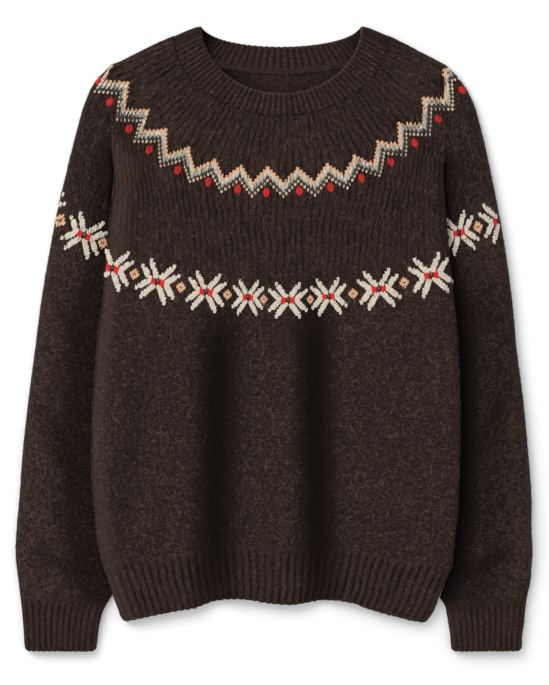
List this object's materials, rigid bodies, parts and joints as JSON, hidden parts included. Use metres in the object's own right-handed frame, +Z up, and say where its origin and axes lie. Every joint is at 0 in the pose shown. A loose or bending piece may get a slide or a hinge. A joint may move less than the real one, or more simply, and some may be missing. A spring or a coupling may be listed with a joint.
{
  "type": "fair isle jumper",
  "caption": "Long-sleeved knitted jumper laid flat, with a round ribbed neckband, ribbed cuffs and hem, and a patterned round yoke.",
  "frame": {"origin": "centre of the bounding box in plan, on the surface that the jumper lies on", "axes": "+Z up from the surface, +Y from the hem to the neck, +X to the right of the jumper as seen from above"},
  "size_m": [0.56, 0.678, 0.0239],
  "materials": {
    "front_yoke": "brushed wool knit",
    "front": "brushed wool knit",
    "back": "brushed wool knit",
    "upper_sleeve_left": "brushed wool knit",
    "upper_sleeve_right": "brushed wool knit",
    "sleeve_left": "brushed wool knit",
    "sleeve_right": "brushed wool knit",
    "neckband": "brushed wool knit",
    "hem_rib_front": "brushed wool knit",
    "hem_rib_back": "brushed wool knit",
    "cuff_left": "brushed wool knit",
    "cuff_right": "brushed wool knit"
  },
  "bodies": {
    "root": {"front_yoke": "front_yoke", "front": "front", "back": "back", "upper_sleeve_left": "upper_sleeve_left", "upper_sleeve_right": "upper_sleeve_right", "sleeve_left": "sleeve_left", "sleeve_right": "sleeve_right", "neckband": "neckband", "hem_rib_front": "hem_rib_front", "hem_rib_back": "hem_rib_back", "cuff_left": "cuff_left", "cuff_right": "cuff_right"}
  },
  "joints": []
}
